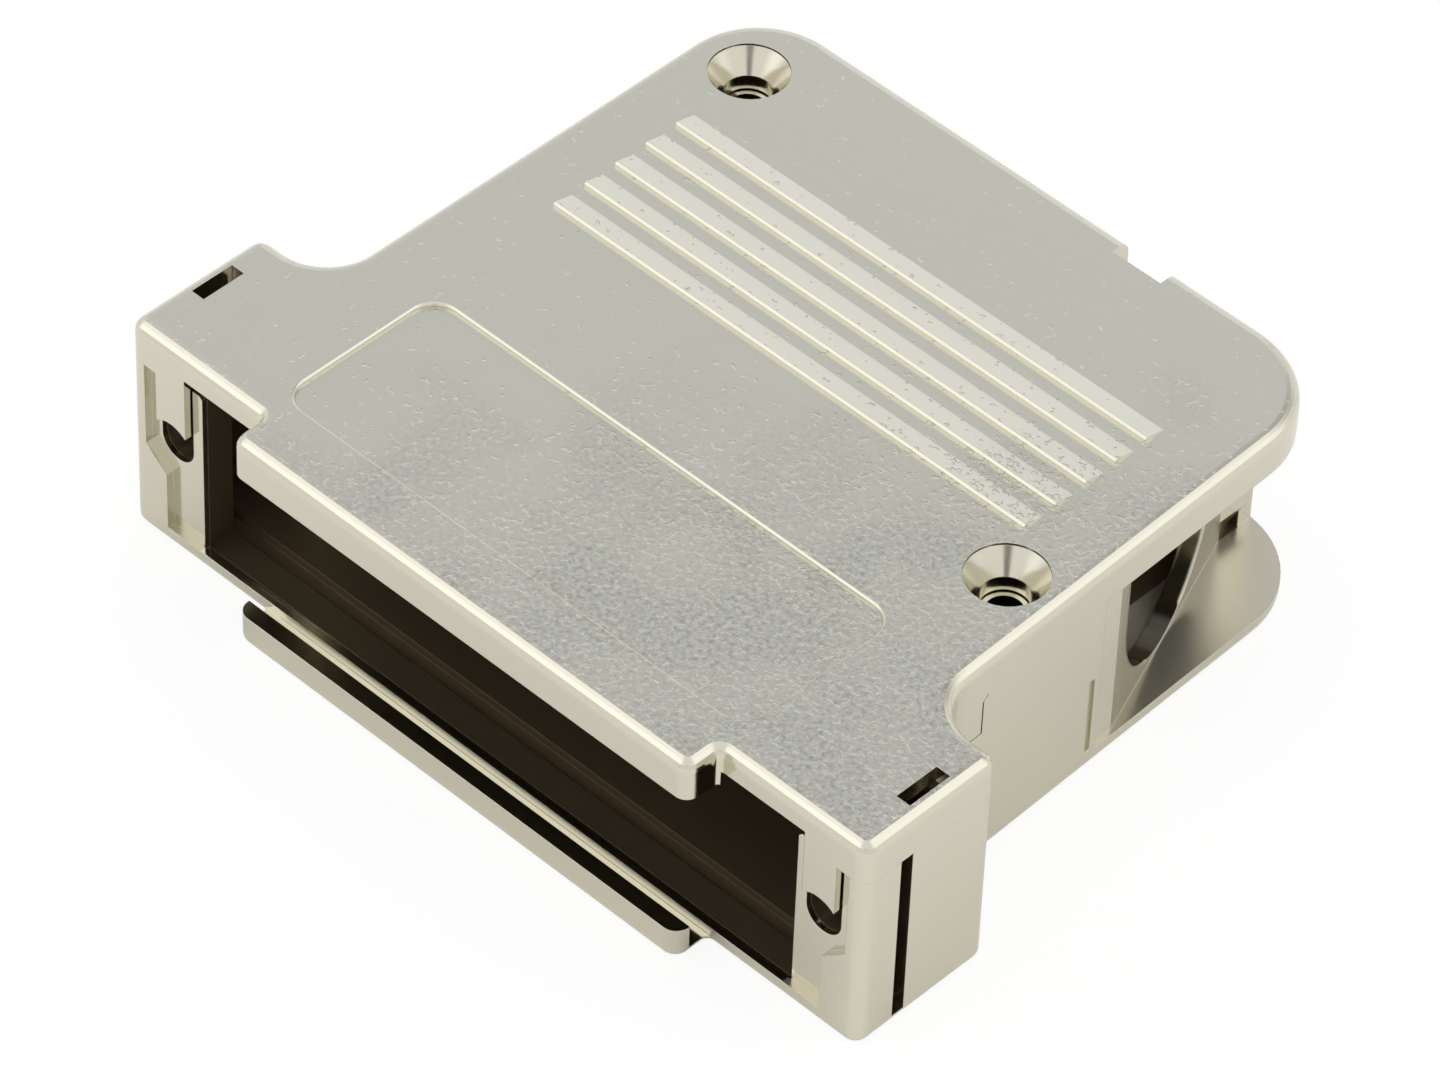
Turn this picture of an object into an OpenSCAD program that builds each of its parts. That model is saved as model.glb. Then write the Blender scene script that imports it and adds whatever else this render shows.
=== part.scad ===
// Metal hood for a 25-way D-sub connector, cable opening at the back-right corner.
// Two die-cast shells that meet at a level seam. X runs along the connector, Y towards
// the back, Z up. The connector side faces -Y.

/* [Overall] */
// Width across the connector flange
flange_w = 53.2; // [52.8:0.1:55]
// Height over both shells, without the grip ribs
total_h = 14.4; // [14:0.1:16]
// Depth from the front face to the back face
body_d = 42.2; // [38:0.5:60]
// Depth of the wide part that holds the connector
flange_d = 9.5; // [8.5:0.1:12]
// Width of the narrower part behind it, at its front end
body_w = 43.4; // [40:0.2:46]
// Slope at which that part's right side draws in towards the back
side_slope = 0.03; // [0.01:0.01:0.04]
// Height of the seam between the shells
seam_z = 11.8; // [11.4:0.1:12.2]

/* [Casting] */
// Side wall thickness
wall = 1.1; // [0.9:0.05:1.4]
// Thickness of the floor and of the top plate
plate_t = 1.0; // [0.9:0.05:1.3]
// Rounding of the upper shell's top rim
rim_r = 0.75; // [0.4:0.05:0.8]
// Rounding of the lower shell's bottom rim
base_r = 0.5; // [0.2:0.1:0.7]
// Radius of the upright corners of the flange and of the upper lip
corner_r = 0.8; // [0.8:0.1:1.4]
// Radius of the left back corner
back_r = 5; // [3:0.5:6]
// Radius of the back corner at the cable opening
open_corner_r = 6; // [4:0.5:7]
// Radius of the hollow between flange and body
neck_r = 3.2; // [2:0.2:4]
// Working clearance between pieces that fit
gap = 0.1; // [0.05:0.05:0.2]

/* [Connector seat] */
// Width of the mouth for the connector
mouth_w = 43.2; // [42.4:0.2:43.6]
// Height of the sill under the mouth
sill_h = 1.0; // [0.8:0.1:1.3]
// Front to back size of the sill
sill_t = 0.42; // [0.3:0.02:0.6]
// Height of the mouth's upper edge
mouth_top = 12.7; // [12.4:0.1:13]
// Thickness of the front wall
front_t = 2.6; // [2.2:0.1:3]
// Width of the groove for the connector's flange
groove_w = 0.85; // [0.8:0.05:1.2]
// Height of the groove's floor
groove_z = 0.45; // [0.4:0.05:0.6]
// Height of the pocket floor behind the sill
pocket_z = 0.6; // [0.5:0.05:0.8]
// Distance between the two jackscrews
jack_pitch = 47.04; // [46.8:0.02:47.3]
// Width of the jackscrew slots
jack_w = 2.4; // [2.2:0.1:2.8]
// How far the slotted plates lie behind the corner posts
post_step = 0.5; // [0.4:0.05:0.9]
// Width of the corner posts' narrow upper part and of their foot
post_w = [1.1, 2.65];
// Heights between which the posts narrow
post_z = [4.85, 6.15];
// Radius of the arch at the lower end of each tab
tab_arch_r = 1.65; // [1.45:0.05:1.9]

/* [Hook lips] */
// Width of the upper hook lip
lip_w = 33; // [28:0.5:34]
// How far the upper lip stands out
lip_out = 2.25; // [1.6:0.05:2.3]
// Wall thickness of both lips
lip_t = 1.0; // [0.8:0.05:1.2]
// Width of the lower hook lip
foot_w = 32.4; // [28:0.4:35]
// How far the lower lip stands out
foot_out = 2.35; // [2:0.05:2.6]
// Height of the lower lip
foot_h = 2.0; // [1.6:0.1:2.6]
// Thickness of the plate that carries the lower lip
foot_t = 0.45; // [0.4:0.05:0.6]

/* [Top plate] */
// Left and right edge of the recessed panel
panel_x = [-16.8, 16.4];
// Front and back edge of the recessed panel
panel_y = [1.8, 12.7];
// Depth of the recessed panel
panel_depth = 0.3; // [0.1:0.05:0.4]
// Corner radius of the recessed panel
panel_r = 1.5; // [0.8:0.1:2]
// Rounding of the panel's edge
panel_edge_r = 0.22; // [0.1:0.02:0.28]
// Number of grip ribs
rib_n = 5; // [2:1:6]
// Distance from rib to rib
rib_pitch = 2.31; // [2:0.05:2.6]
// Front edge of the rearmost rib
rib_back_y = 31.3; // [30:0.1:33]
// Front to back size of a rib
rib_w = 1.4; // [0.8:0.1:1.6]
// Height of a rib's steep front side
rib_h = 0.3; // [0.2:0.05:0.5]
// Left and right end of the ribs
rib_x = [-17.4, 16.6];
// Distance between the two flange windows
window_pitch = 50.8; // [50.2:0.1:51]
// Width of a window
window_w = 0.92; // [0.7:0.02:1]
// Front and back edge of the windows
window_y = [3.8, 6.7];
// Left and right side of the notch in the back edge
notch_x = [5.6, 9.0];
// Depth of the notch
notch_d = 1.3; // [0.8:0.1:1.6]

/* [Case screws] */
// Left-back case screw
screw_a = [-17.8, 37.4];
// Right-front case screw
screw_b = [18.2, 19.1];
// Diameter of the through hole
screw_d = 2.7; // [2.6:0.1:3]
// Diameter of the countersink
sink_d = 4.6; // [4.4:0.1:5]
// Depth of the countersink
sink_h = 1.5; // [1.2:0.1:1.6]
// Diameter of the pilot hole in the lower bosses
pilot_d = 2.05; // [1.9:0.05:2.2]
// Outer diameter of the screw bosses
boss_d = 6; // [5.8:0.1:6.4]
// Height of the lower bosses
boss_z = 11.9; // [11.5:0.1:12]

/* [Cable opening] */
// Radius of the cable opening
cable_r = 6.1; // [5.5:0.1:6.1]
// Angle of the cable's way out, from the hood's right side
cable_angle = 20.5; // [16:0.5:25]
// Middle of the cable opening, on the inner face of its wall
cable_at = [17.45, 31.5];
// Thickness of the slanted wall
cable_wall = 1.1; // [0.9:0.1:1.3]
// Where the right side wall ends
side_end_y = 23.4; // [23:0.1:24]
// Lowest point of the upper shell's arch over the opening
arch_z = 10.6; // [9:0.1:11]
// Front and back end of the tongue that drops at the neck
tongue_y = [10.2, 13.9];
// How far the tongue drops below the seam
tongue_drop = 2.7; // [2:0.1:3.5]

/* [Hidden] */
$fn = 48;
eps = 0.05;
// Longer than any side of the hood
big = 80;
metal_upper = [0.76, 0.75, 0.71];
metal_lower = [0.72, 0.71, 0.66];
foot_r = 0.9;
lip_inner_r = 0.4;
round_steps = 5;
cavity_top = total_h - plate_t;
axis_z = total_h / 2;
groove_back = front_t + groove_w;
jack_x = jack_pitch / 2;
// The origin lies in the middle of the whole footprint
shift_y = (foot_out - body_d) / 2;
tab_w = jack_w - 2 * gap;
// How deep a piece that is fused to a plate or a wall reaches into it
sunk = 0.3;
wall_sunk = 0.25;
// Wall left at the ends of the upper shell's groove, and that groove's depth
groove_end = 0.4;
groove_up = 0.3;
// The prong's top below the seam, and its bevel
prong_top = 0.1;
prong_bevel = 0.2;
// Height of the pilot holes' blind end over the floor
pilot_floor = 1.5;
// Length of the bevel at a rib's upper edge, and the height at which it starts
rib_bevel = 0.15;
rib_front = 0.7 * rib_h;
// The open corner's left side, and the end of the back wall that reaches past it
back_end_x = cable_at[0] - 1.9;
back_end_past = 0.2;
back_end_w = 1.0;
back_end_t = 2.9;
back_foot_w = 0.3;
back_foot_z = 2.6;
// Upright groove before the end of the right side wall
mark_w = 0.4;
mark_before = 0.45;
mark_deep = 0.55;
mark_z = [1.3, 6.5];
// The sloping side's front and back end, where the arcs beside it start
slope_y = [flange_d + neck_r, body_d - open_corner_r];
slope_end_x = body_w / 2 - side_slope * (slope_y[1] - slope_y[0]);

// Plan of the hood as a loop of corners, counter-clockwise, each with its radius.
// A positive radius rounds an outer corner and a negative one fills an inner corner. Those
// are all square. The two corners without a radius end the sloping right side.
function plan_loop(lip_half = 0, out = 0, lip_r = 0) = concat(
    [[-flange_w / 2, 0, corner_r]],
    out > 0 ? [[-lip_half, 0, -lip_inner_r], [-lip_half, -out, lip_r],
               [lip_half, -out, lip_r], [lip_half, 0, -lip_inner_r]] : [],
    [[flange_w / 2, 0, corner_r], [flange_w / 2, flange_d, corner_r],
     [body_w / 2, flange_d, -neck_r], [body_w / 2, slope_y[0], 0],
     [slope_end_x, slope_y[1], 0], [slope_end_x, body_d, open_corner_r],
     [-body_w / 2, body_d, back_r], [-body_w / 2, flange_d, -neck_r],
     [-flange_w / 2, flange_d, corner_r]]);
function box_loop(x, y, r) = [[x[0], y[0], r], [x[1], y[0], r], [x[1], y[1], r], [x[0], y[1], r]];
// The same outline seen as the rim of a hole
function hole_rim(loop) = [for (i = [1:len(loop)]) let (p = loop[len(loop) - i]) [p[0], p[1], -p[2]]];

function xy(p) = [p[0], p[1]];
function unit(v) = v / norm(v);
function to_left(v) = [-v[1], v[0]];
function before(loop, i) = (i + len(loop) - 1) % len(loop);
// Direction of the edge that leaves corner i, and of the way back along the one that arrives
function ahead(loop, i) = unit(xy(loop[(i + 1) % len(loop)]) - xy(loop[i]));
function behind(loop, i) = -ahead(loop, before(loop, i));
function centre(loop, i) = xy(loop[i]) + abs(loop[i][2]) * (ahead(loop, i) + behind(loop, i));
// The loop with its walls moved inwards by d
function inset(loop, d) = [for (i = [0:len(loop) - 1]) loop[i][2] == 0
    ? loop[i] - [d, 0, 0]
    : let (p = xy(loop[i]) + d * (to_left(ahead(loop, i)) - to_left(behind(loop, i))))
      [p[0], p[1], loop[i][2] - d]];

// Solid inside the loop, from z0 to z1
module plan_block(loop, z0, z1) {
    translate([0, 0, z0]) difference() {
        union() {
            linear_extrude(z1 - z0) polygon([for (p = loop) xy(p)]);
            for (i = [0:len(loop) - 1]) if (loop[i][2] < 0) corner_piece(loop, i, z1 - z0, 0);
        }
        for (i = [0:len(loop) - 1]) if (loop[i][2] > eps) corner_piece(loop, i, z1 - z0, 1);
    }
}

// The sliver between a square corner and its arc, reaching out beyond it by over
module corner_piece(loop, i, h, over) {
    r = abs(loop[i][2]);
    p = xy(loop[i]);
    u = ahead(loop, i);
    v = behind(loop, i);
    mid = centre(loop, i);
    translate([0, 0, -over]) difference() {
        linear_extrude(h + 2 * over)
            polygon([p - over * (u + v), p + r * u - over * v, mid, p + r * v - over * u]);
        translate([mid[0], mid[1], -1]) cylinder(r = r, h = h + 2 * over + 2);
    }
}

// Section of what a rounded edge loses. The wall stands at x = rad and the top is y = 0.
module edge_section(rad, r, side) {
    far = side > 0 ? rad + 1 : 0;
    arc = [for (k = [0:round_steps]) let (a = 90 * k / round_steps)
           [rad + side * r * (cos(a) - 1), r * (sin(a) - 1)]];
    polygon(concat(arc, [[rad - side * r, 1], [far, 1], [far, -r]]));
}

// The straight stretch along the sloping side, skewed so that its ends stay square to Y
module sloped_edge(start, end, r) {
    slope = (end[0] - start[0]) / (end[1] - start[1]);
    multmatrix([[1, slope, 0, start[0] - slope * start[1]], [0, 1, 0, 0], [0, 0, 1, 0], [0, 0, 0, 1]])
        translate([0, end[1], 0]) rotate([90, 0, 0])
        linear_extrude(end[1] - start[1]) edge_section(0, r, 1);
}

// All that rounding the loop's top edge takes off, with that edge at z = 0
module edge_round(loop, r) {
    for (i = [0:len(loop) - 1]) {
        next = loop[(i + 1) % len(loop)];
        u = ahead(loop, i);
        v = behind(loop, i);
        rad = abs(loop[i][2]);
        start = xy(loop[i]) + rad * u;
        end = xy(next) - abs(next[2]) * u;
        mid = centre(loop, i);
        outer = loop[i][2] > 0;
        if (rad == 0 && next[2] == 0) sloped_edge(start, end, r);
        else if (norm(end - start) > eps)
            translate([end[0], end[1], 0]) rotate([90, 0, atan2(-u[0], u[1])])
                linear_extrude(norm(end - start)) edge_section(0, r, 1);
        if (rad > 0) translate([mid[0], mid[1], 0])
            rotate([0, 0, outer ? atan2(v[0], -v[1]) : atan2(u[0], -u[1])])
            rotate_extrude(angle = 90) edge_section(rad, r, outer ? 1 : -1);
    }
}

plain = plan_loop();
upper_plan = plan_loop(lip_w / 2, lip_out, corner_r);
lower_plan = plan_loop(foot_w / 2, foot_out, foot_r);
cavity_plan = inset(plain, wall);
panel = box_loop(panel_x, panel_y, panel_r);

// A box from its lowest to its highest corner
module span_box(a, b) {
    translate(a) cube(b - a);
}

module both_sides() {
    children();
    mirror([1, 0, 0]) children();
}

// A section drawn in X and Z, from y0 to y1
module front_section(y0, y1) {
    translate([0, y1, 0]) rotate([90, 0, 0]) linear_extrude(y1 - y0) children();
}

// A section drawn in Y and Z, from x0 to x1
module side_section(x0, x1) {
    translate([x0, 0, 0]) rotate([90, 0, 90]) linear_extrude(x1 - x0) children();
}

// Room behind the front wall, between the walls
module cavity(z0, z1) {
    intersection() {
        plan_block(cavity_plan, z0, z1);
        span_box([-big, front_t, z0 - 1], [big, big, z1 + 1]);
    }
}

// What follows stands on the slanted wall: X leads out along the cable, Y along the wall
module on_cable_wall() {
    translate([cable_at[0], cable_at[1], 0]) rotate([0, 0, cable_angle]) children();
}

// The slanted wall at the cable's way out, from z0 to z1
module cable_wall_part(z0, z1) {
    intersection() {
        plan_block(inset(plain, wall_sunk), z0, z1);
        on_cable_wall() span_box([0, -big, z0 - 1], [cable_wall, big, z1 + 1]);
    }
}

// The round opening for the cable
module cable_bore() {
    on_cable_wall() translate([-1, 0, axis_z]) rotate([0, 90, 0])
        cylinder(r = cable_r, h = cable_wall + 2);
}

// Room between the saddle's straight upper sides, smaller by g
module cable_sides(g, x0, x1, z0) {
    on_cable_wall() span_box([x0, g - cable_r, z0], [x1, cable_r - g, seam_z + eps]);
}

// Tongue that drops from the upper shell at the neck, smaller by g all around
module neck_tongue(g) {
    bevel = 0.4;
    side_section(body_w / 2 - wall - 2, flange_w / 2) polygon([
        [tongue_y[0] + g, seam_z - tongue_drop + g], [tongue_y[1] - g, seam_z - tongue_drop + g],
        [tongue_y[1] - g, seam_z - bevel], [tongue_y[1] - g + bevel, seam_z],
        [tongue_y[1] - g + bevel, seam_z + eps], [tongue_y[0] + g, seam_z + eps]]);
}

// Front of the lower shell: mouth, recessed plates and jackscrew slots
module lower_front_cuts() {
    // Mouth over the sill, then over the pocket behind it
    span_box([-mouth_w / 2, -1, sill_h], [mouth_w / 2, front_t + eps, big]);
    span_box([-mouth_w / 2, sill_t, pocket_z], [mouth_w / 2, front_t + eps, big]);
    // Groove for the connector's flange, open at both sides
    span_box([-big, front_t, groove_z], [big, groove_back, big]);
    both_sides() {
        front_section(-1, post_step) polygon([
            [mouth_w / 2 - 1, sill_h], [flange_w / 2 - post_w[1], sill_h],
            [flange_w / 2 - post_w[1], post_z[0]], [flange_w / 2 - post_w[0], post_z[1]],
            [flange_w / 2 - post_w[0], big], [mouth_w / 2 - 1, big]]);
        translate([jack_x, -1, axis_z]) rotate([-90, 0, 0]) cylinder(d = jack_w, h = front_t + 1 + eps);
        span_box([jack_x - jack_w / 2, -1, axis_z], [jack_x + jack_w / 2, front_t + eps, big]);
        // Bevelled top of the prong beside the mouth
        front_section(-1, front_t + eps) polygon([
            [mouth_w / 2 - 1, seam_z - prong_top - prong_bevel - 1],
            [mouth_w / 2 + prong_bevel, seam_z - prong_top], [jack_x, seam_z - prong_top],
            [jack_x, seam_z + 1], [mouth_w / 2 - 1, seam_z + 1]]);
    }
    // Above and behind the lower hook lip
    span_box([-big, -big, foot_h], [big, 0, big]);
    span_box([-big, lip_t - foot_out, foot_t], [big, 0, big]);
}

// End of the back wall, thicker than the rest and drawn in at its foot
module back_wall_end() {
    x0 = back_end_x + back_end_past - back_end_w;
    front_section(body_d - back_end_t, body_d - wall / 2) polygon([
        [x0, plate_t / 2], [x0 + back_foot_w, plate_t / 2], [x0 + back_foot_w, plate_t],
        [x0 + back_end_w, back_foot_z], [x0 + back_end_w, seam_z], [x0, seam_z]]);
}

module lower_shell() {
    color(metal_lower) translate([0, shift_y, 0]) difference() {
        union() {
            difference() {
                plan_block(lower_plan, 0, seam_z);
                cavity(plate_t, seam_z + 1);
                // Open corner behind the slanted wall
                span_box([back_end_x, side_end_y, plate_t], [big, big, big]);
            }
            for (p = [screw_a, screw_b]) translate([p[0], p[1], plate_t / 2])
                cylinder(d = boss_d, h = boss_z - plate_t / 2);
            difference() {
                cable_wall_part(plate_t / 2, seam_z);
                cable_bore();
                cable_sides(0, -1, cable_wall + 1, axis_z);
            }
            back_wall_end();
        }
        mirror([0, 0, 1]) edge_round(lower_plan, base_r);
        lower_front_cuts();
        neck_tongue(0);
        for (p = [screw_a, screw_b]) translate([p[0], p[1], plate_t + pilot_floor])
            cylinder(d = pilot_d, h = big);
        // Upright groove near the end of the side wall
        span_box([body_w / 2 - mark_deep, side_end_y - mark_before - mark_w, mark_z[0]],
                 [big, side_end_y - mark_before, mark_z[1]]);
    }
}

// Case screw hole with its countersink
module case_screw_hole(p) {
    rim = 0.15;
    translate([p[0], p[1], 0]) {
        translate([0, 0, boss_z - 1]) cylinder(d = screw_d, h = total_h);
        translate([0, 0, total_h - sink_h]) cylinder(d1 = screw_d, d2 = sink_d, h = sink_h - rim);
        translate([0, 0, total_h - rim]) cylinder(d = sink_d, h = 1);
    }
}

module grip_rib(y) {
    side_section(rib_x[0], rib_x[1]) polygon([
        [y, total_h - sunk], [y, total_h + rib_front], [y + rib_bevel, total_h + rib_h],
        [y + rib_w, total_h], [y + rib_w, total_h - sunk]]);
}

// What is taken from inside the upper shell
module upper_hollow() {
    low = seam_z - 1;
    cavity(low, cavity_top);
    // Mouth up to its upper edge, and the shallow groove for the connector's flange
    span_box([tab_w / 2 - jack_x, -eps, low], [jack_x - tab_w / 2, front_t + eps, mouth_top]);
    span_box([groove_end - flange_w / 2, front_t, low],
             [flange_w / 2 - groove_end, groove_back, cavity_top + groove_up]);
    // Inside of the hook lip
    span_box([lip_t - lip_w / 2, lip_t - lip_out, low], [lip_w / 2 - lip_t, eps, cavity_top]);
}

module upper_shell() {
    color(metal_upper) translate([0, shift_y, 0]) difference() {
        union() {
            difference() {
                plan_block(upper_plan, seam_z, total_h);
                upper_hollow();
                translate([0, 0, total_h]) edge_round(upper_plan, rim_r);
            }
            both_sides() difference() {
                span_box([jack_x - tab_w / 2, 0, axis_z],
                         [jack_x + tab_w / 2, front_t - gap, seam_z + eps]);
                translate([jack_x, -1, axis_z]) rotate([-90, 0, 0])
                    cylinder(r = tab_arch_r, h = front_t + 2);
            }
            intersection() {
                neck_tongue(gap);
                difference() {
                    plan_block(plain, 0, total_h);
                    plan_block(cavity_plan, -1, total_h + 1);
                }
            }
            for (p = [screw_a, screw_b]) translate([p[0], p[1], boss_z + gap])
                cylinder(d = boss_d, h = cavity_top - boss_z);
            difference() {
                union() {
                    cable_wall_part(seam_z, cavity_top + sunk);
                    cable_sides(gap, 0, cable_wall, arch_z);
                }
                cable_bore();
            }
            for (k = [0:rib_n - 1]) grip_rib(rib_back_y - k * rib_pitch);
        }
        for (p = [screw_a, screw_b]) case_screw_hole(p);
        both_sides() span_box([window_pitch / 2 - window_w / 2, window_y[0], seam_z - 1],
                              [window_pitch / 2 + window_w / 2, window_y[1], big]);
        plan_block(panel, total_h - panel_depth, total_h + 1);
        translate([0, 0, total_h]) edge_round(hole_rim(panel), panel_edge_r);
        span_box([notch_x[0], body_d - notch_d, seam_z - 1], [notch_x[1], big, big]);
    }
}

lower_shell();
upper_shell();
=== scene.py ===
# Two-part metal hood for a 25-way D-sub connector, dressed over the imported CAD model.
import math

import bpy
from mathutils import Matrix, Vector


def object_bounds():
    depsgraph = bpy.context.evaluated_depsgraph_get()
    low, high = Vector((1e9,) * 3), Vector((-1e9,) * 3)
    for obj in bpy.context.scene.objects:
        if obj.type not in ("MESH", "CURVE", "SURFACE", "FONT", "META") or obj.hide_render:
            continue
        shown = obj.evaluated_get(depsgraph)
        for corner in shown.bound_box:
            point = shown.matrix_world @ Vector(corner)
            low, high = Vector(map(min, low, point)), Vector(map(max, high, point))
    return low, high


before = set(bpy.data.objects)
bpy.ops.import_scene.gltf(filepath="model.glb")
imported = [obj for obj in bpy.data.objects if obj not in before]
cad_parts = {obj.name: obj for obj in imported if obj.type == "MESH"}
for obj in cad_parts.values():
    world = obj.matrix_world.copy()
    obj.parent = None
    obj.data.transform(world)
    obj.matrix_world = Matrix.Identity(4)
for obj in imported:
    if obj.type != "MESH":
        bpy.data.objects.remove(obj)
cad_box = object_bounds()
MM = 0.001

# Camera
# It stands where the photograph was taken from: in front, to the right and above, with a
# long lens, so that the hood's edges run nearly parallel.
CAMERA_AT_MM = (202.41, -222.425, 298.67)
CAMERA_AZIMUTH, CAMERA_ELEVATION, CAMERA_ROLL = 42.642, 44.485, 2.381
LENS_MM, SENSOR_MM = 199.65, 36
CAMERA_REACH = 10

azimuth, elevation, roll = (math.radians(a) for a in (CAMERA_AZIMUTH, CAMERA_ELEVATION, CAMERA_ROLL))
back = Vector((math.sin(azimuth) * math.cos(elevation), -math.cos(azimuth) * math.cos(elevation),
               math.sin(elevation)))
right = Vector((0, 0, 1)).cross(back).normalized()
up = back.cross(right)
right, up = (right * math.cos(roll) + up * math.sin(roll), up * math.cos(roll) - right * math.sin(roll))
camera_data = bpy.data.cameras.new("camera")
camera_data.lens = LENS_MM
camera_data.sensor_width = SENSOR_MM
camera_data.sensor_fit = "HORIZONTAL"
camera_data.clip_end = CAMERA_REACH
camera = bpy.data.objects.new("camera", camera_data)
camera.matrix_world = (Matrix.Translation(Vector(CAMERA_AT_MM) * MM)
                       @ Matrix((right, up, back)).transposed().to_4x4())
bpy.context.collection.objects.link(camera)
bpy.context.scene.camera = camera
bpy.context.scene.view_settings.view_transform = "Standard"


def linear(hex_colour):
    """An sRGB hex colour as the linear RGBA that a shader socket takes."""
    channels = [int(hex_colour[i:i + 2], 16) / 255 for i in (1, 3, 5)]
    return [c / 12.92 if c <= 0.04045 else ((c + 0.055) / 1.055) ** 2.4 for c in channels] + [1]


def add_node(tree, kind, sockets=None, **properties):
    """Add a node, set its properties, and link its sockets or give them a plain value."""
    node = tree.nodes.new(kind)
    for name, value in properties.items():
        setattr(node, name, value)
    for name, source in (sockets or {}).items():
        if isinstance(source, bpy.types.NodeSocket):
            tree.links.new(source, node.inputs[name])
        else:
            node.inputs[name].default_value = source
    return node


# Studio floor and light
# A plain white table under a soft studio dome, which metal shows as a pale sheen.
TABLE_GLOW, TABLE_GLOW_SHARE = 1.03, 0.85
TABLE_HALF, TABLE_GAP_MM = 1.5, 0.05


def new_tree(owner):
    """The empty node tree of a material or of the world."""
    owner.use_nodes = True
    owner.node_tree.nodes.clear()
    return owner.node_tree


# Matt white laminate: the camera sees it glow as a backdrop, and the hood still shades it
floor_white = bpy.data.materials.new("matt_white_table")
tree = new_tree(floor_white)
paper = add_node(tree, "ShaderNodeBsdfDiffuse", {"Color": linear("#fcfbf8")})
white = add_node(tree, "ShaderNodeEmission", {"Color": linear("#ffffff"), "Strength": TABLE_GLOW})
seen = add_node(tree, "ShaderNodeLightPath").outputs["Is Camera Ray"]
share = add_node(tree, "ShaderNodeMath", {0: seen, 1: TABLE_GLOW_SHARE}, operation="MULTIPLY")
mixed = add_node(tree, "ShaderNodeMixShader", {0: share.outputs[0], 1: paper.outputs[0], 2: white.outputs[0]})
add_node(tree, "ShaderNodeOutputMaterial", {"Surface": mixed.outputs[0]})
floor_mesh = bpy.data.meshes.new("floor")
floor_mesh.from_pydata([(x * TABLE_HALF, y * TABLE_HALF, 0) for x, y in ((-1, -1), (1, -1), (1, 1), (-1, 1))],
                       [], [(0, 1, 2, 3)])
floor_mesh.materials.append(floor_white)
floor = bpy.data.objects.new("floor", floor_mesh)
floor.location.z = cad_box[0][2] - TABLE_GAP_MM * MM
bpy.context.collection.objects.link(floor)

world = bpy.data.worlds.new("studio")
bpy.context.scene.world = world
tree = new_tree(world)
way = add_node(tree, "ShaderNodeTexCoord").outputs["Generated"]


def softbox(level, towards, spread, amount):
    """Brighten or dim the dome around one direction, within spread degrees of it."""
    aim = Vector(towards).normalized()
    dot = add_node(tree, "ShaderNodeVectorMath", {0: way, 1: aim}, operation="DOT_PRODUCT").outputs["Value"]
    fade = add_node(tree, "ShaderNodeMapRange", {"Value": dot, "From Min": math.cos(math.radians(spread)),
                                                 "To Max": amount}, interpolation_type="SMOOTHSTEP")
    return add_node(tree, "ShaderNodeMath", {0: level, 1: fade.outputs[0]}, operation="ADD").outputs[0]


height = add_node(tree, "ShaderNodeSeparateXYZ", {0: way}).outputs["Z"]
dome = add_node(tree, "ShaderNodeMapRange", {"Value": height, "From Min": -0.2, "From Max": 0.5,
                                             "To Min": 0.8, "To Max": 0.95}, interpolation_type="SMOOTHSTEP")
level = dome.outputs[0]
level = softbox(level, (-0.48, 0.52, 0.70), 38, -0.22)  # dims what the flat top shows
level = softbox(level, (-0.48, 0.80, 0.36), 22, 0.25)  # lights the ribs' back slopes
level = softbox(level, (-0.50, -0.60, 0.62), 35, 0.55)  # lights the front rim
level = softbox(level, (0.55, 0.52, 0.65), 35, 0.45)  # lights the right rim
level = softbox(level, (0.0, 0.75, 0.66), 24, -0.4)  # dims what the open corner shows
level = softbox(level, (0.61, -0.66, 0.43), 13, -0.7)  # darkens the countersinks' backs
sky = add_node(tree, "ShaderNodeBackground", {"Color": linear("#ffffff"), "Strength": level})
add_node(tree, "ShaderNodeOutputWorld", {"Surface": sky.outputs[0]})


# Lower shell
# A zinc die casting with bright nickel plating. Its inside is painted dark brown as painted shade in the hollow
# and drawn dull, and the level ledges get half of that painted shade. Its inside is drawn dull and brown, on
# the guess that a plating bath coats a hollow thinly, and the level ledges are drawn half as dull.
BRIGHT_NICKEL, SHADED_INSIDE_NICKEL, SHADED_LEDGE_NICKEL = "#d9d5c5", "#6a5d49", "#cfcabb"
POLISH, DULLNESS, INSIDE_METALLIC, LEDGE_SHADE_SHARE = 0.15, 0.38, 0.7, 0.5
EDGE_MM, CABLE_RIM_MM = 0.06, 0.3
MOULD_MM, MOULD_DEPTH_MM, MOULD_SHARE = 1.6, 0.02, 0.12
LIP_MM, WALL_MM, FLANGE_STEP_MM, FADE_MM = 2.35, 0.9, 4.95, 0.1


def nickel_plate(name):
    """Bright nickel: warm and nearly mirror-like, with soft edges and the mould's faint relief."""
    material = bpy.data.materials.new(name)
    tree = new_tree(material)
    surface = add_node(tree, "ShaderNodeBsdfPrincipled",
                       {"Base Color": linear(BRIGHT_NICKEL), "Metallic": 1.0, "Roughness": POLISH})
    soft_edge = add_node(tree, "ShaderNodeBevel", {"Radius": EDGE_MM * MM}, samples=6)
    place = add_node(tree, "ShaderNodeTexCoord").outputs["Object"]
    mould = add_node(tree, "ShaderNodeTexNoise", {"Vector": place, "Scale": 1 / (MOULD_MM * MM), "Detail": 2.0})
    relief = add_node(tree, "ShaderNodeBump", {
        "Height": mould.outputs[0], "Normal": soft_edge.outputs[0],
        "Strength": MOULD_SHARE, "Distance": MOULD_DEPTH_MM * MM})
    tree.links.new(relief.outputs[0], surface.inputs["Normal"])
    add_node(tree, "ShaderNodeOutputMaterial", {"Surface": surface.outputs[0]})
    return material, surface, relief, place, soft_edge


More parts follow.
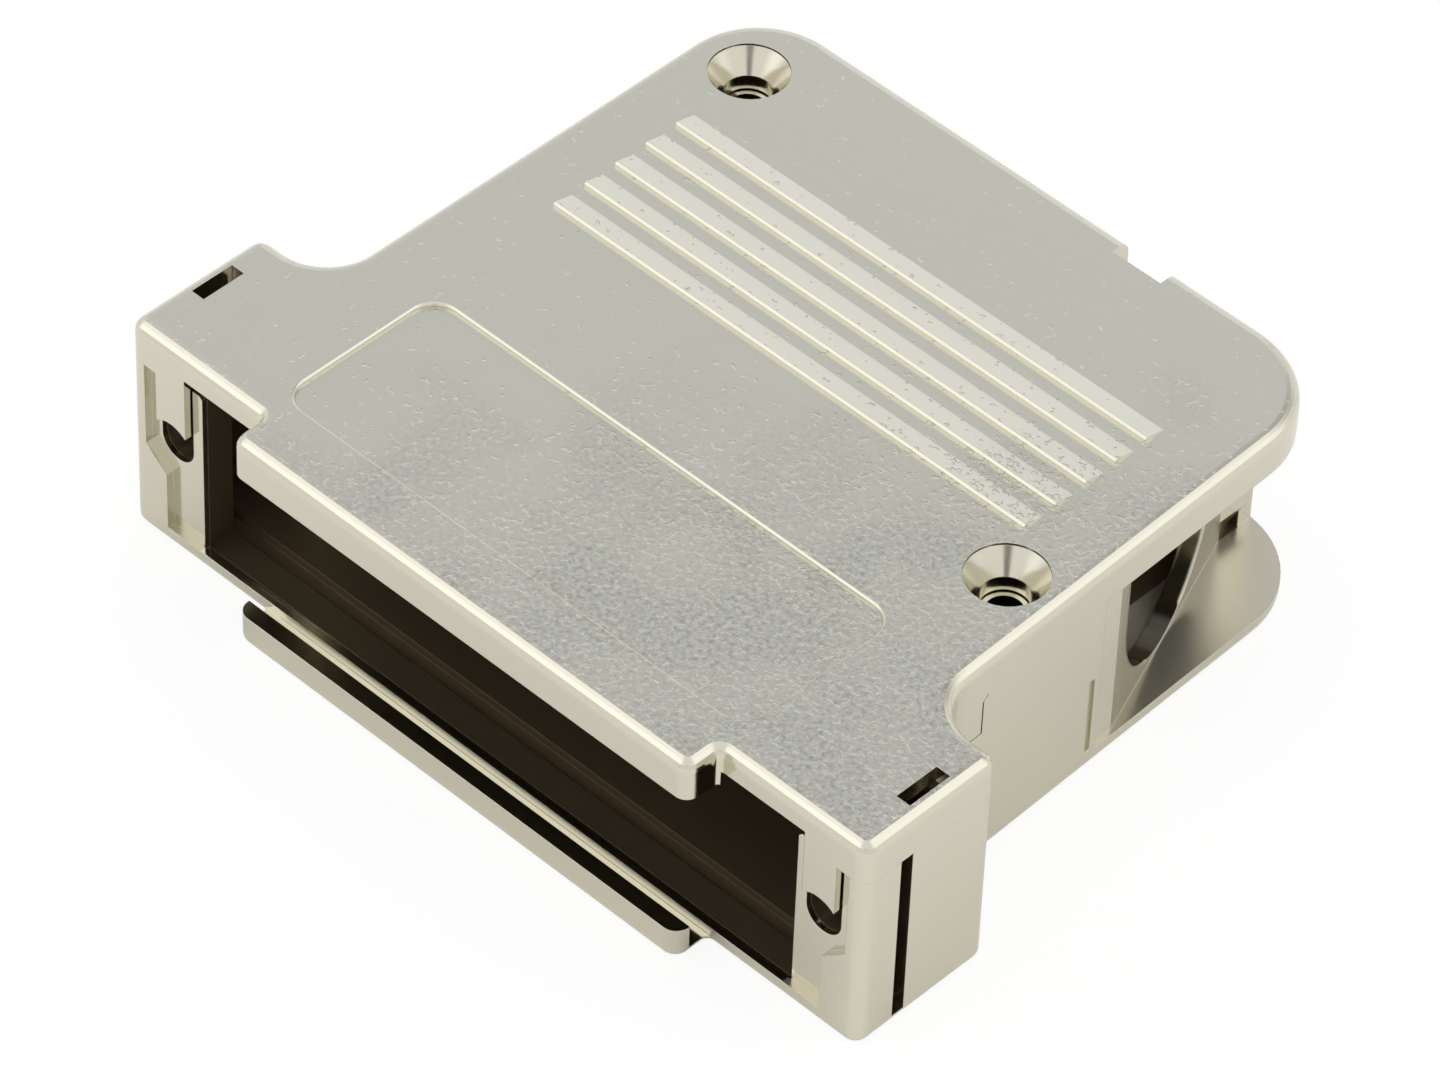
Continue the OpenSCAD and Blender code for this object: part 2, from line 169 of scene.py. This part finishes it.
def inside_box(tree, place, *spans):
    """A mask for a box. Its x, y and z spans are in mm, with y counted from the front face."""
    split = add_node(tree, "ShaderNodeSeparateXYZ", {0: place})
    mask = None
    for axis, start, (low, high) in zip("XYZ", (0, front_mm, 0), spans):
        low, high = start + low, start + high
        for near, far in ((low - FADE_MM, low), (high + FADE_MM, high)):
            side = add_node(tree, "ShaderNodeMapRange", {
                "Value": split.outputs[axis], "From Min": near * MM, "From Max": far * MM}).outputs[0]
            if mask is not None:
                side = add_node(tree, "ShaderNodeMath", {0: mask, 1: side}, operation="MULTIPLY").outputs[0]
            mask = side
    return mask


def facing_up(tree, least, full):
    """A mask for level faces, which rises between two values of the normal's height."""
    normal = add_node(tree, "ShaderNodeNewGeometry").outputs["Normal"]
    upward = add_node(tree, "ShaderNodeSeparateXYZ", {0: normal}).outputs["Z"]
    return add_node(tree, "ShaderNodeMapRange", {"Value": upward, "From Min": least, "From Max": full})


def refinish(node, material):
    """Give a CAD node its finish."""
    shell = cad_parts[node]
    shell.data.materials.clear()
    shell.data.materials.append(material)


# The row's box starts at the lips, which stand out before the front face
front_mm = cad_box[0][1] / MM + LIP_MM
half_flange = cad_box[1][0] / MM - WALL_MM
half_body = half_flange - FLANGE_STEP_MM
corner_x, room_z = 15.6, (0.3, 13.5)
flange_room = ((-half_flange, half_flange), (0.9, 9.0), room_z)
wire_room = ((-half_body, corner_x), (9.0, 37.6), room_z)
back_room = ((-16.9, corner_x), (37.6, 41.1), room_z)
corner_floor = ((corner_x, 22.0), (23.3, 42.3), (0.3, 1.2))
right_ledge = ((21.5, 27.0), (0.0, 1.0), (0.3, 1.3))
left_ledge = ((-27.0, -21.5), (0.0, 1.0), (0.3, 1.3))
saddle_rim = ((13.0, 21.5), (26.0, 37.5), (1.6, 11.5))

# Bright nickel plate over zinc, which gives the outside its warm, glossy grey
smooth, surface, relief, place, soft_edge = nickel_plate("nickel_plated_zinc")
tree = smooth.node_tree
level_floor = facing_up(tree, 0.9, 0.98)
level_floor.inputs["To Max"].default_value = LEDGE_SHADE_SHARE
# This mask paints shade into the colour of the hollows and also dulls the metal there
shade_and_dullness = inside_box(tree, place, *flange_room)
for room in (wire_room, back_room):
    more = inside_box(tree, place, *room)
    shade_and_dullness = add_node(tree, "ShaderNodeMath", {0: shade_and_dullness, 1: more}, operation="MAXIMUM").outputs[0]
# The level ledges and the open corner's floor get a lighter painted shade
for ledge in (corner_floor, right_ledge, left_ledge):
    on_floor = {0: inside_box(tree, place, *ledge), 1: level_floor.outputs[0]}
    more = add_node(tree, "ShaderNodeMath", on_floor, operation="MULTIPLY").outputs[0]
    shade_and_dullness = add_node(tree, "ShaderNodeMath", {0: shade_and_dullness, 1: more}, operation="MAXIMUM").outputs[0]
# The ramp paints shade: dark brown in the hollows, a lighter painted shade on the level ledges
colour = add_node(tree, "ShaderNodeValToRGB", {"Fac": shade_and_dullness})
colour.color_ramp.elements[0].color = linear(BRIGHT_NICKEL)
colour.color_ramp.elements[1].color = linear(SHADED_INSIDE_NICKEL)
colour.color_ramp.elements.new(LEDGE_SHADE_SHARE).color = linear(SHADED_LEDGE_NICKEL)
tree.links.new(colour.outputs["Color"], surface.inputs["Base Color"])
for socket, plated, bare in (("Roughness", POLISH, DULLNESS), ("Metallic", 1.0, INSIDE_METALLIC)):
    change = add_node(tree, "ShaderNodeMapRange", {"Value": shade_and_dullness, "To Min": plated, "To Max": bare})
    tree.links.new(change.outputs[0], surface.inputs[socket])
# The rim of the cable's saddle is cast much rounder than the other edges
rounder = add_node(tree, "ShaderNodeMapRange", {
    "Value": inside_box(tree, place, *saddle_rim), "To Min": EDGE_MM * MM, "To Max": CABLE_RIM_MM * MM})
tree.links.new(rounder.outputs[0], soft_edge.inputs["Radius"])
refinish("lower_shell", smooth)


# Upper shell
# The same plated casting. On its flat top the metal froze rough and pitted with fine grain, mostly towards the
# connector and the cable; there the top is also painted greyer as painted shade, in random patches, with dark
# grain flecks and bright painted glints.
GRAIN_MM, PIT_MM, FLECK_MM, PATCH_MM = 0.5, 0.035, 0.3, 7
ROUGH_SHADE_FROM_MM, ROUGH_SHADE_TO_MM, ROUGH_SHADE_SHIFT_MM = 10, 38, 30
TOP_ROUGHNESS = 0.24
SHADE_TONE, PLAIN_TONE, FLECK_SWING = 0.3, 0.6, 0.9

# The plate's pits and dark flecks, and the painted glints, are drawn a little coarser than the real ones, so
# that they show
grainy, surface, relief, place, soft_edge = nickel_plate("nickel_plated_zinc_grained")
tree = grainy.node_tree
flat = facing_up(tree, 0.9, 0.985).outputs[0]
across = add_node(tree, "ShaderNodeSeparateXYZ", {0: place})
# The painted shade and the pits both grow towards the front-right of the top
flow = add_node(tree, "ShaderNodeMath", {0: across.outputs["X"], 1: across.outputs["Y"]}, operation="SUBTRACT")
patchy = add_node(tree, "ShaderNodeTexNoise", {"Vector": place, "Scale": 1 / (PATCH_MM * MM), "Detail": 2.0})
shift = add_node(tree, "ShaderNodeMath", {0: patchy.outputs[0], 1: ROUGH_SHADE_SHIFT_MM * MM, 2: flow.outputs[0]},
                 operation="MULTIPLY_ADD")
rough_and_shaded_zone = add_node(tree, "ShaderNodeMapRange", {
    "Value": shift.outputs[0], "From Min": ROUGH_SHADE_FROM_MM * MM, "From Max": ROUGH_SHADE_TO_MM * MM},
    interpolation_type="SMOOTHSTEP").outputs[0]
# The pits' threshold sinks where the metal froze rough, so they lie close there and apart elsewhere
rim = add_node(tree, "ShaderNodeMapRange", {"Value": rough_and_shaded_zone, "To Min": 0.66, "To Max": 0.47}).outputs[0]
rim_top = add_node(tree, "ShaderNodeMath", {0: rim, 1: 0.07}, operation="ADD").outputs[0]
grain = add_node(tree, "ShaderNodeTexNoise", {
    "Vector": place, "Scale": 1 / (GRAIN_MM * MM), "Detail": 2.0, "Roughness": 0.55})
pits = add_node(tree, "ShaderNodeMapRange", {"Value": grain.outputs[0], "From Min": rim, "From Max": rim_top},
                interpolation_type="SMOOTHSTEP")
rugged = add_node(tree, "ShaderNodeBump", {
    "Height": pits.outputs[0], "Normal": relief.outputs[0], "Strength": flat, "Distance": PIT_MM * MM})
tree.links.new(rugged.outputs[0], surface.inputs["Normal"])
duller = add_node(tree, "ShaderNodeMapRange", {"Value": flat, "To Min": POLISH, "To Max": TOP_ROUGHNESS})
tree.links.new(duller.outputs[0], surface.inputs["Roughness"])
calmer = add_node(tree, "ShaderNodeMapRange", {
    "Value": patchy.outputs[0], "From Min": 0.43, "From Max": 0.56, "To Min": 0.65})
# Painted shade: the top greys towards the front-right, in random patches
uneven_shade = add_node(tree, "ShaderNodeMath", {0: rough_and_shaded_zone, 1: calmer.outputs[0]}, operation="MULTIPLY")
painted_grey_shade = add_node(tree, "ShaderNodeMath", {0: uneven_shade.outputs[0], 1: flat}, operation="MULTIPLY")
# Dark grain flecks and bright painted glints either side of the painted grey shade tone, only where the metal
# froze rough
flecks_and_glints = add_node(tree, "ShaderNodeTexNoise", {"Vector": place, "Scale": 1 / (FLECK_MM * MM), "Detail": 1.0})
swing = add_node(tree, "ShaderNodeMath", {
    0: flecks_and_glints.outputs[0], 1: FLECK_SWING, 2: SHADE_TONE - PLAIN_TONE - FLECK_SWING / 2},
    operation="MULTIPLY_ADD")
tone = add_node(tree, "ShaderNodeMath", {0: swing.outputs[0], 1: painted_grey_shade.outputs[0], 2: PLAIN_TONE},
                operation="MULTIPLY_ADD")
tint = add_node(tree, "ShaderNodeValToRGB", {"Fac": tone.outputs[0]})
tint.color_ramp.elements[0].color = linear("#a6a69f")
# The white end of this ramp is a painted glint
tint.color_ramp.elements[1].color = linear("#ffffff")
for stop, hex_colour in ((SHADE_TONE, "#c6c6bd"), (PLAIN_TONE, "#d5d4ca")):
    tint.color_ramp.elements.new(stop).color = linear(hex_colour)
finish = add_node(tree, "ShaderNodeMixRGB", {
    "Fac": flat, "Color1": linear(BRIGHT_NICKEL), "Color2": tint.outputs["Color"]})
tree.links.new(finish.outputs["Color"], surface.inputs["Base Color"])
refinish("upper_shell", grainy)
